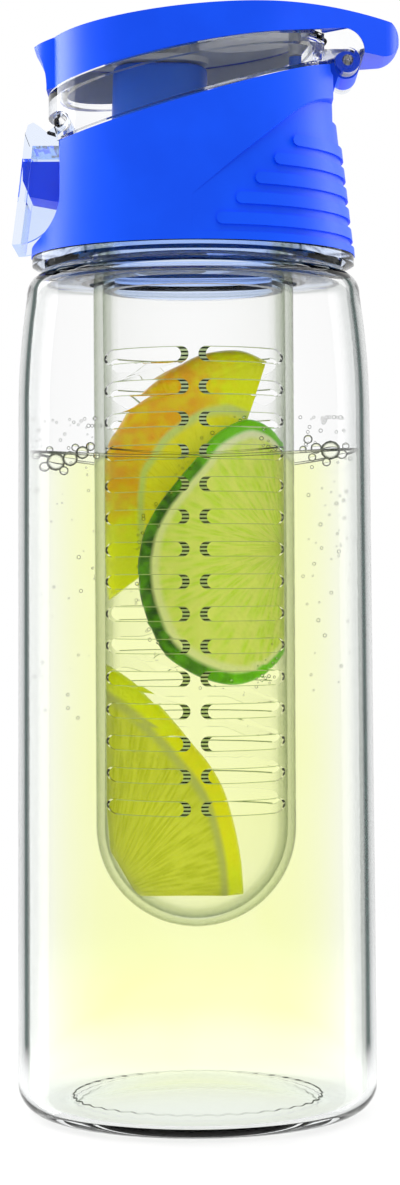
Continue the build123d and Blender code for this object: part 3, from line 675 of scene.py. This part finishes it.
def make_citrus(name, flesh, pale_flesh, pith, rind, light_rind, rind_start, light_turns, segments):
    """Cut citrus: juice cells and membranes, a pith, and a pitted rind that is lighter at its ends."""
    material, tree, shader = new_material(name)
    inputs = {"Segments": segments, "Cell Count": CELL_COUNT}
    juice = add(tree, "ShaderNodeGroup", inputs, node_tree=JUICE_CELLS).outputs
    cells, way_out, turn = juice["Cells"], juice["Way Out"], juice["Turn"]
    meat = mix_colours(tree, spread(tree, cells, *CELL_GLOW_RANGE), flesh, pale_flesh)
    membrane = calc(tree, "MULTIPLY", juice["Membrane"], MEMBRANE_PALENESS)
    cut = mix_colours(tree, membrane, meat, pale_flesh)
    inner = spread(tree, way_out, rind_start - PITH_START_GAP, rind_start - PITH_END_GAP)
    with_pith = mix_colours(tree, inner, cut, pith)
    place = object_place(tree)
    tone = add(tree, "ShaderNodeTexNoise", {"Vector": place, "Scale": 420.0, "Detail": 4.0})
    pores = add(tree, "ShaderNodeTexVoronoi", {"Vector": place, "Scale": 900.0})
    first = spread(tree, turn, *light_turns[:2], 1.0, 0.0)
    final = spread(tree, turn, *light_turns[2:])
    mottle = spread(tree, tone.outputs["Fac"], *MOTTLE_RANGE, 0.0, PEEL_MOTTLE)
    share = calc(tree, "ADD", calc(tree, "MAXIMUM", first, final), mottle, clamp=True)
    peel = mix_colours(tree, share, rind, light_rind)
    outer = spread(tree, way_out, rind_start - PEEL_START_GAP, rind_start + PEEL_END_GAP)
    height = calc(tree, "ADD", cells, pores.outputs["Distance"])
    feed(tree, shader, {
        "Base Color": mix_colours(tree, outer, with_pith, peel),
        "Normal": bump(tree, height, strength=0.5, distance=PORE_HEIGHT),
        "Roughness": 0.3,
        "Specular IOR Level": FRUIT_GLOSS,
        "Subsurface Weight": 0.2,
        "Subsurface Radius": (1.0, 0.9, 0.4),
        "Subsurface Scale": 0.002,
    })
    return material


def make_slot_edge(name):
    """The moulded end of a basket slot in clear plastic, painted grey-green and crossed by dark bars of
    painted shade.
    """
    material, tree, shader = new_material(name)
    place = add(tree, "ShaderNodeUVMap", uv_map="slice").outputs["UV"]
    height = add(tree, "ShaderNodeSeparateXYZ", {0: place}).outputs["Y"]
    bar = calc(tree, "PINGPONG", calc(tree, "MULTIPLY", height, SLOT_BARS), HALF_WAVE)
    # The dark bars are painted shade.
    dark = spread(tree, bar, *SLOT_BAR_RANGE)
    skin = use_skin(tree, grain_size=0.0009, patch_size=0.004)
    pale = mix_colours(tree, skin["Patches"], *SLOT_PALES)
    feed(tree, shader, {
        "Base Color": mix_colours(tree, dark, pale, SLOT_PAINTED_SHADE),
        "Normal": bump(tree, skin["Grain"], strength=0.2, distance=0.00003),
        "Roughness": 0.25,
        "Specular IOR Level": FRUIT_GLOSS,
    })
    return material


# The bottle and what it holds
def bottle_side(inset):
    """The bottle's (radius, height) side from the heel to the shoulder, moved in by inset."""
    shoulder_top = BODY_HEIGHT + SHOULDER_RISE + SHOULDER_ROUND
    high = (BODY_RADIUS_HIGH - inset, BODY_HEIGHT)
    crease = (BODY_RADIUS_HIGH - SHOULDER_DRAW_IN - inset, BODY_HEIGHT + SHOULDER_RISE)
    land = (crease[0] - SHOULDER_ROUND + inset, shoulder_top - inset)
    side = bow(high, (high[0], BODY_HEIGHT + SHOULDER_RISE / 2), crease, SHOULDER_STEPS)
    return side + bow(crease, (crease[0] - inset / 4, land[1]), land, CREASE_STEPS)[1:]


def bottle_outline(inset, neck, top, heel, floor):
    """The bottle's outside, or its inside when moved in, from the middle of the foot to the rim."""
    foot_in = BODY_RADIUS - HEEL_RADIUS - FOOT_WIDTH
    rise = floor + PUSH_UP
    foot = bow((0.0, rise), (foot_in / 2, rise), (foot_in, floor), BOW_STEPS)
    heel_arc = arc((BODY_RADIUS - inset - heel, floor + heel), heel, -90, 0, HEEL_STEPS)
    side = bottle_side(inset)
    return foot + heel_arc + side + [(neck, side[-1][1]), (neck, top)]


def make_bottle_piece():
    """The bottle as one turned wall, thin at the side and thicker at the foot."""
    outside = bottle_outline(0.0, NECK_RADIUS, NECK_TOP, HEEL_RADIUS, 0.0)
    inside = bottle_outline(
        BODY_WALL, NECK_RADIUS - NECK_WALL, NECK_TOP, HEEL_RADIUS - BASE_THICKNESS, BASE_THICKNESS,
    )
    piece = smooth(lathe(outside + inside[::-1], "bottle_wall"), WALL_ANGLE)
    piece.data.materials.append(CLEAR_BOTTLE)
    piece.data.materials.append(CLEAR_INSIDE)
    for face in piece.data.polygons:
        outward = Vector((face.center.x, face.center.y, 0.0)).dot(face.normal)
        if outward < 0 and face.center.z > PUSH_UP + BASE_THICKNESS:
            face.material_index = 1
    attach(piece, "bottle")
    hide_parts("bottle_body")


def wave(x, y):
    """Height of the water's surface over its level, rising towards the two side walls."""
    reach = math.hypot(x, y) / BODY_RADIUS
    turn = math.atan2(y, x)
    swell = math.cos(2 * turn) * reach ** 3
    ripple = math.sin(RIPPLE_COUNT * reach + RIPPLE_TWIST * turn) * RIPPLE_SHARE
    return WAVE_HEIGHT * (swell + ripple * reach)


def make_water_piece():
    """The water, a closed body that fills the bottle to its level with a wavy top."""
    outline = bottle_outline(
        BODY_WALL + WATER_GAP, NECK_RADIUS - NECK_WALL, NECK_TOP,
        HEEL_RADIUS - BASE_THICKNESS - WATER_GAP, BASE_THICKNESS + WATER_GAP,
    )
    wall = [point for point in outline if point[1] < WATER_LEVEL - 2 * WAVE_HEIGHT]
    slope = (BODY_RADIUS_HIGH - BODY_RADIUS) / BODY_HEIGHT
    edge = BODY_RADIUS + slope * WATER_LEVEL - BODY_WALL - WATER_GAP
    top = [(edge * (1 - ring / WATER_RINGS), WATER_LEVEL) for ring in range(WATER_RINGS)]
    piece = lathe(wall + top + [(0.0, WATER_LEVEL)], "water")
    for vertex in piece.data.vertices:
        if vertex.co.z > WATER_LEVEL - WAVE_HEIGHT:
            vertex.co.z += wave(vertex.co.x, vertex.co.y)
    smooth(piece, WATER_ANGLE)
    piece.data.materials.append(WATER)
    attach(piece, "bottle")


def keep_in_basket(place):
    """A place moved in so that it stays inside the basket's bore and its round bottom."""
    bore = BASKET_RADIUS - BASKET_WALL - FRUIT_GAP
    drop = min(place.z - (basket_low.z + BASKET_RADIUS), 0.0)
    reach = math.sqrt(max(bore ** 2 - drop ** 2, 0.0))
    if math.hypot(place.x, place.y) > reach:
        return at_reach(place, reach)
    return place


def cut_slice(name, rim, heart, depths, thickness, material):
    """A cut of citrus: a fan from its heart to the rim, both in photo pixels, as a rounded slab."""
    edge = curve_through(rim, RIM_STEPS)
    left = min(px for px, py in rim)
    right = max(px for px, py in rim)
    bm = bmesh.new()
    layer = bm.loops.layers.uv.new("slice")
    sheets = []
    share_of = {}
    for side in (1, -1):
        rows = []
        for i, (px, py) in enumerate(edge):
            row = []
            for share in RING_SHARES:
                x = heart[0] + (px - heart[0]) * share
                y = heart[1] + (py - heart[1]) * share
                across = (x - left) / (right - left)
                depth = depths[0] + (depths[1] - depths[0]) * across
                half = thickness / 2 * math.sqrt(max(1 - share ** RIM_POWER, 0.0))
                swell = math.sin(i * PLUMP_AROUND) * math.sin(share * PLUMP_OUTWARD)
                plump = swell * thickness * PLUMP_SHARE
                place = photo_place(x, y, depth) - Vector((0.0, side * (half + plump * (1 - share)), 0.0))
                vert = bm.verts.new(keep_in_basket(place))
                share_of[vert] = (i / (len(edge) - 1), share)
                row.append(vert)
            rows.append(row)
        sheets.append(rows)
    front, back = sheets
    last = len(RING_SHARES) - 1
    for rows in sheets:
        for i in range(len(rows) - 1):
            for j in range(last):
                bm.faces.new((rows[i][j], rows[i + 1][j], rows[i + 1][j + 1], rows[i][j + 1]))
    for i in range(len(front) - 1):
        bm.faces.new((front[i][last], front[i + 1][last], back[i + 1][last], back[i][last]))
    for i in (0, len(front) - 1):
        for j in range(last):
            bm.faces.new((front[i][j], front[i][j + 1], back[i][j + 1], back[i][j]))
    for face in bm.faces:
        for loop in face.loops:
            loop[layer].uv = share_of[loop.vert]
    bmesh.ops.remove_doubles(bm, verts=bm.verts, dist=FRUIT_MERGE_GAP)
    piece = smooth(from_bmesh(bm, name), FRUIT_ANGLE)
    piece.data.materials.append(material)
    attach(piece, "basket")


def on_basket(x, z, side, inset):
    """A place on the basket's outside, moved in by inset, at an x and a height."""
    radius = BASKET_RADIUS - inset
    return Vector((x, side * math.sqrt(max(radius ** 2 - x ** 2, 0.0)), z))


def add_crescent(bm, layer, hand, height):
    """The thick end of a slot beside the basket's front middle, as a crescent-shaped slab."""
    radius = SLOT_HEIGHT / 2
    centre = SLOT_BRIDGE / 2 + radius
    sheets = []
    for inset in (LINE_RADIUS, BASKET_WALL / 3):
        rows = []
        for i in range(CRESCENT_STEPS + 1):
            turn = math.radians(-90 + 180 * i / CRESCENT_STEPS)
            out = centre - radius * math.cos(turn)
            z = height + radius * math.sin(turn)
            pair = []
            for x in (out, out + CRESCENT_WIDTH):
                pair.append(bm.verts.new(on_basket(hand * x, z, FRONT, inset)))
            rows.append(pair)
        sheets.append(rows)
    faces = []
    front, back = sheets
    for i in range(CRESCENT_STEPS):
        for a, b in ((front[i], front[i + 1]), (back[i], back[i + 1])):
            faces.append(bm.faces.new((a[0], b[0], b[1], a[1])))
        for j in (0, 1):
            faces.append(bm.faces.new((front[i][j], front[i + 1][j], back[i + 1][j], back[i][j])))
    for i in (0, CRESCENT_STEPS):
        faces.append(bm.faces.new((front[i][0], front[i][1], back[i][1], back[i][0])))
    low = height - radius
    for face in faces:
        for loop in face.loops:
            loop[layer].uv = (BAR_MIDDLE, (loop.vert.co.z - low) / SLOT_HEIGHT)


def add_line(bm, layer, points):
    """A thin round line through points, closed at its ends and coloured like a pale bar."""
    rings = []
    for i, point in enumerate(points):
        along = (points[min(i + 1, len(points) - 1)] - points[max(i - 1, 0)]).normalized()
        across = along.cross(Vector((0.0, 0.0, 1.0))).normalized()
        up = across.cross(along)
        ring = []
        for k in range(LINE_SIDES):
            turn = 2 * math.pi * k / LINE_SIDES
            ring.append(bm.verts.new(point + LINE_RADIUS * (across * math.cos(turn) + up * math.sin(turn))))
        rings.append(ring)
    faces = [bm.faces.new(rings[0]), bm.faces.new(rings[-1])]
    for here, there in zip(rings, rings[1:]):
        for k in range(LINE_SIDES):
            m = (k + 1) % LINE_SIDES
            faces.append(bm.faces.new((here[k], there[k], there[m], here[m])))
    for face in faces:
        for loop in face.loops:
            loop[layer].uv = (BAR_MIDDLE, PALE_BAR)


def make_slot_edges():
    """The moulded edges of the slots: a fine line above and below, and a crescent at the front middle."""
    bm = bmesh.new()
    layer = bm.loops.layers.uv.new("slice")
    low_x = SLOT_BRIDGE / 2 + SLOT_HEIGHT / 2
    high_x = BASKET_RADIUS - BASKET_WALL - SLOT_SIDE_MARGIN - SLOT_HEIGHT / 2
    for row in range(SLOT_ROWS):
        height = basket_high.z - SLOT_TOP_MARGIN - row * SLOT_PITCH
        for hand in (-1, 1):
            add_crescent(bm, layer, hand, height)
            for side in (FRONT, BACK):
                for rise in (-1, 1):
                    z = height + rise * (SLOT_HEIGHT / 2 - LINE_RADIUS)
                    points = []
                    for i in range(LINE_STEPS + 1):
                        x = low_x + (high_x - low_x) * i / LINE_STEPS
                        points.append(on_basket(hand * x, z, side, LINE_RADIUS))
                    add_line(bm, layer, points)
    piece = smooth(from_bmesh(bm, "slot_edges"), SLOT_ANGLE)
    piece.data.materials.append(SLOT_EDGE)
    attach(piece, "basket")


def add_bubbles(name, body, places):
    """Small round bubbles, each a (place, radius), as one piece."""
    bm = bmesh.new()
    for place, radius in places:
        made = bmesh.ops.create_icosphere(bm, subdivisions=BUBBLE_ROUNDNESS, radius=radius)
        bmesh.ops.translate(bm, verts=made["verts"], vec=place)
    piece = smooth(from_bmesh(bm, name), ROUND_ANGLE)
    piece.data.materials.append(BUBBLE)
    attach(piece, body)


def beside_basket(place, gap):
    """A place moved to stay between the basket's outside and the bottle's wall."""
    near = BASKET_RADIUS + gap
    far = BODY_RADIUS_HIGH - BODY_WALL - gap
    if math.hypot(place.x, place.y) < near:
        place = at_reach(place, near)
    if math.hypot(place.x, place.y) > far:
        place = at_reach(place, far)
    return place


def make_wall_bubbles():
    """The froth where the water meets the bottle's sides, and the bubbles that rise under it."""
    draw = random.Random(SEED)
    for side, froth in (("left", FROTH_LEFT), ("right", FROTH_RIGHT)):
        places = []
        for px, py, radius, depth in froth:
            size = radius * PIXEL
            places.append((beside_basket(photo_place(px, py, depth), size), size))
        for i in range(SMALL_BUBBLES):
            size = draw.uniform(*SMALL_SIZE)
            fall = draw.random() ** FROTH_FALL
            px = draw.uniform(*FROTH_SPAN[side])
            py = FROTH_TOP + (FROTH_FOOT - FROTH_TOP) * fall
            depth = draw.uniform(*FROTH_DEPTH)
            places.append((beside_basket(photo_place(px, py, depth), size), size))
        add_bubbles(f"bubbles_{side}", "bottle", places)


def make_fruit_bubbles():
    """The small bubbles that cling round the lime in the basket."""
    draw = random.Random(SEED + 1)
    edge = curve_through(LIME_RIM, RIM_STEPS)
    places = []
    for i in range(FRUIT_BUBBLES):
        px, py = edge[int(draw.random() * (len(edge) - 1))]
        px += draw.uniform(*CLING_X)
        py += draw.uniform(*CLING_Y)
        size = draw.uniform(*SMALL_SIZE)
        place = photo_place(px, py, draw.uniform(*CLING_DEPTH))
        places.append((keep_in_basket(place), size))
    add_bubbles("bubbles_fruit", "basket", places)


def make_ring(name, places, thick):
    """A closed thin round line of clear water or plastic through places."""
    curve = bpy.data.curves.new(name, "CURVE")
    curve.dimensions = "3D"
    curve.bevel_depth = thick
    curve.bevel_resolution = BEVEL_STEPS
    spline = curve.splines.new("NURBS")
    spline.points.add(len(places) - 1)
    for point, place in zip(spline.points, places):
        point.co = (*place, 1.0)
    spline.use_cyclic_u = True
    spline.order_u = SPLINE_ORDER
    line = bpy.data.objects.new(name, curve)
    mesh = bpy.data.meshes.new_from_object(line)
    bpy.data.objects.remove(line)
    piece = smooth(link(mesh, name), ROUND_ANGLE)
    piece.data.materials.clear()
    # The line takes the bubble skin, with its painted dark edge.
    piece.data.materials.append(BUBBLE)
    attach(piece, "bottle")


def make_waterline(name, radius, rise, thick):
    """The thin rounded line of water that climbs a wall at its level."""
    places = []
    for i in range(LINE_POINTS):
        turn = 2 * math.pi * i / LINE_POINTS
        x, y = radius * math.cos(turn), radius * math.sin(turn)
        places.append((x, y, WATER_LEVEL + wave(x, y) + rise * math.cos(turn) ** 2))
    make_ring(name, places, thick)


def make_foot_scallops():
    """The wavy moulded line inside the foot, where the wall was blown into its mould."""
    count = 2 * FOOT_SCALLOPS
    foot_in = BODY_RADIUS - HEEL_RADIUS - FOOT_WIDTH
    places = []
    for i in range(count):
        turn = 2 * math.pi * i / count
        radius = foot_in - SCALLOP_INSET + SCALLOP_DEPTH * (-1) ** i
        height = BASE_THICKNESS + SCALLOP_INSET / 2 + SCALLOP_DEPTH * (i % 2)
        places.append((radius * math.cos(turn), radius * math.sin(turn), height))
    make_ring("foot_scallops", places, SCALLOP_DEPTH / 4)


# Finishes of the CAD nodes and of the pieces
CLEAR_BOTTLE = make_clear_plastic(
    "bottle clear outside", OUTER_BANDS, BOTTLE_PAINTED_SHADE_WEIGHTS, ior=1.15, clear_foot=True,
)
CLEAR_INSIDE = make_clear_plastic(
    "bottle clear inside", INNER_BANDS, BOTTLE_PAINTED_SHADE_WEIGHTS, ior=1.15, clear_foot=True,
)
CLEAR_BASKET = make_clear_plastic("basket clear wall", BASKET_BANDS, BASKET_PAINTED_SHADE_WEIGHTS, ior=1.13)
CLEAR_LID = make_clear_plastic("lid clear parts", LID_BANDS, LID_PAINTED_SHADE_WEIGHTS, ior=1.18)
CLEAR_LATCH = make_clear_plastic("latch clear", LATCH_BANDS, BLUE_PAINTED_SHADE_WEIGHTS, ior=1.24)
CLEAR_RING = make_clear_plastic("lid clear ring", RING_BANDS, BLUE_PAINTED_SHADE_WEIGHTS, ior=1.12, roughness=0.06)
# The casing's insides are painted a lighter blue: painted light for its dim inside.
BLUE_CASING = make_satin_plastic(
    "casing blue", (0.002, 0.072, 0.84, 1.0), (0.003, 0.084, 0.92, 1.0),
    roughness=0.42, grain=0.0005, relief=0.00004, inside=PAINTED_LIGHT_BLUE_INSIDE,
)
# The cover's underside is painted pale: painted light for its dim inside.
BLUE_COVER = make_satin_plastic(
    "cover blue", (0.002, 0.070, 0.84, 1.0), (0.003, 0.082, 0.92, 1.0),
    roughness=0.34, grain=0.0006, relief=0.00003, inside=PAINTED_LIGHT_UNDERSIDE,
)
BLUE_SPOUT = make_satin_plastic(
    "spout blue", (0.03, 0.18, 1.0, 1.0), (0.05, 0.22, 1.0, 1.0),
    roughness=0.34, grain=0.0005, relief=0.00003,
)
SILICONE = make_silicone("seal silicone", (0.86, 0.88, 0.89, 1.0))
WATER = make_water("infused water")
BUBBLE = make_bubble("bubble skin")
LIME = make_citrus(
    "lime", flesh=(0.70, 0.92, 0.10, 1.0), pale_flesh=(0.88, 0.98, 0.28, 1.0),
    pith=(0.93, 1.0, 0.60, 1.0), rind=(0.016, 0.080, 0.001, 1.0),
    light_rind=(0.20, 0.70, 0.004, 1.0), rind_start=0.90,
    light_turns=(0.12, 0.34, 0.66, 0.95), segments=4.0,
)
ORANGE = make_citrus(
    "orange", flesh=(0.96, 0.88, 0.001, 1.0), pale_flesh=(0.98, 0.92, 0.02, 1.0),
    pith=(0.72, 0.82, 0.20, 1.0), rind=(0.95, 0.44, 0.001, 1.0),
    light_rind=(0.92, 1.0, 0.001, 1.0), rind_start=0.66,
    light_turns=(0.02, 0.26, 0.62, 0.92), segments=5.0,
)
LEMON = make_citrus(
    "lemon", flesh=(0.62, 0.68, 0.020, 1.0), pale_flesh=(0.78, 0.82, 0.07, 1.0),
    pith=(0.60, 0.64, 0.17, 1.0), rind=(0.98, 0.92, 0.002, 1.0),
    light_rind=(0.90, 1.0, 0.002, 1.0), rind_start=0.88,
    light_turns=(0.1, 0.5, 0.8, 1.0), segments=3.0,
)
SLOT_EDGE = make_slot_edge("slot edge")

NODE_FINISHES = {
    "infuser_basket": CLEAR_BASKET,
    "lid_liner": CLEAR_RING,
    "drink_deck": CLEAR_LID,
    "cap_shell": CLEAR_LID,
    "latch_clip": CLEAR_LATCH,
    "lid_casing": BLUE_CASING,
    "cap_cover": BLUE_COVER,
    "drink_spout": BLUE_SPOUT,
    "vent_valve": BLUE_SPOUT,
    "neck_seal": SILICONE,
    "basket_seal": SILICONE,
    "spout_seal": SILICONE,
    "spout_plug": SILICONE,
    "vent_plug": SILICONE,
    "hinge_pin": CLEAR_LID,
    "latch_pin": CLEAR_LID,
}


def finish_nodes():
    """Gives each CAD node that stays its finish."""
    for name, material in NODE_FINISHES.items():
        for slot in nodes[name].material_slots:
            slot.material = material


# Camera, light and floor
def make_camera():
    """The camera at the photo's eye level and distance, with its slight roll."""
    data = bpy.data.cameras.new("camera")
    data.lens = CAMERA_LENS
    data.sensor_width = CAMERA_SENSOR
    camera = link(data, "camera")
    eye = Vector((EYE_X, -EYE_DISTANCE, EYE_Z))
    target = Vector((EYE_X, 0.0, (FLOOR_PIXEL_Y - PHOTO_HEIGHT / 2) * PIXEL))
    camera.location = eye
    look = (target - eye).to_track_quat("-Z", "Y").to_matrix()
    roll = Matrix.Rotation(math.radians(-CAMERA_ROLL), 3, "Z")
    camera.rotation_euler = (look @ roll).to_euler()
    bpy.context.scene.camera = camera


def make_lamp(name, place, size, power):
    """A soft area lamp that points at the middle of the bottle."""
    data = bpy.data.lights.new(name, "AREA")
    data.shape = "RECTANGLE"
    data.size, data.size_y = size
    data.energy = power
    lamp = link(data, name)
    lamp.location = place
    lamp.visible_camera = False
    lamp.visible_transmission = False
    aim = Vector((0.0, 0.0, NECK_TOP / 2)) - Vector(place)
    lamp.rotation_euler = aim.to_track_quat("-Z", "Y").to_euler()


def make_world():
    """Even studio light, seen as plain white by the camera and in gloss and glass."""
    world = bpy.data.worlds.new("studio")
    world.use_nodes = True
    tree = world.node_tree
    tree.nodes.clear()
    path = add(tree, "ShaderNodeLightPath").outputs
    seen = path["Is Camera Ray"]
    for kind in ("Is Glossy Ray", "Is Transmission Ray"):
        seen = calc(tree, "MAXIMUM", seen, path[kind])
    strength = spread(tree, seen, 0.0, 1.0, AMBIENT, 1.0)
    background = add(tree, "ShaderNodeBackground", {"Color": WHITE, "Strength": strength})
    add(tree, "ShaderNodeOutputWorld", {"Surface": background.outputs[0]})
    bpy.context.scene.world = world


def make_floor():
    """A pale floor that fades into the white background round the bottle."""
    bm = bmesh.new()
    bmesh.ops.create_grid(bm, x_segments=FLOOR_SQUARES, y_segments=FLOOR_SQUARES, size=FLOOR_SIZE / 2)
    floor = from_bmesh(bm, "floor")
    material, tree, shader = new_material("pale floor")
    skin = use_skin(tree, grain_size=0.002, patch_size=0.3)
    feed(tree, shader, {
        "Base Color": mix_colours(tree, skin["Patches"], *FLOOR_GREYS),
        "Roughness": FLOOR_ROUGHNESS,
    })
    length = add(tree, "ShaderNodeVectorMath", {0: object_place(tree)}, operation="LENGTH")
    fade = spread(tree, length.outputs["Value"], FLOOR_FADE_NEAR, FLOOR_FADE_FAR, FLOOR_THIN, 1.0)
    clear = add(tree, "ShaderNodeBsdfTransparent").outputs[0]
    mix = add(tree, "ShaderNodeMixShader", {0: fade, 1: shader.outputs[0], 2: clear})
    feed(tree, tree.nodes["Material Output"], {"Surface": mix.outputs[0]})
    floor.data.materials.append(material)


finish_nodes()
make_bottle_piece()
make_water_piece()
cut_slice("orange_wedge", ORANGE_RIM, ORANGE_HEART, ORANGE_DEPTHS, ORANGE_THICKNESS, ORANGE)
cut_slice("lime_slice", LIME_RIM, LIME_HEART, LIME_DEPTHS, LIME_THICKNESS, LIME)
cut_slice("lemon_slice", LEMON_RIM, LEMON_HEART, LEMON_DEPTHS, LEMON_THICKNESS, LEMON)
make_slot_edges()
make_wall_bubbles()
make_fruit_bubbles()
make_waterline(
    "wall_waterline", BODY_RADIUS_HIGH - BODY_WALL - WALL_LINE_INSET, WALL_LINE_RISE, WALL_LINE_THICKNESS,
)
make_waterline(
    "basket_waterline", BASKET_RADIUS - BASKET_WALL - BASKET_LINE_INSET,
    BASKET_LINE_RISE, BASKET_LINE_THICKNESS,
)
make_foot_scallops()
make_camera()
make_world()
make_floor()
for name, place, size, power in LAMPS:
    make_lamp(name, place, size, power)

scene = bpy.context.scene
scene.view_settings.view_transform = "Standard"
scene.cycles.max_bounces = LIGHT_BOUNCES
scene.cycles.transmission_bounces = LIGHT_BOUNCES
scene.cycles.transparent_max_bounces = LIGHT_BOUNCES
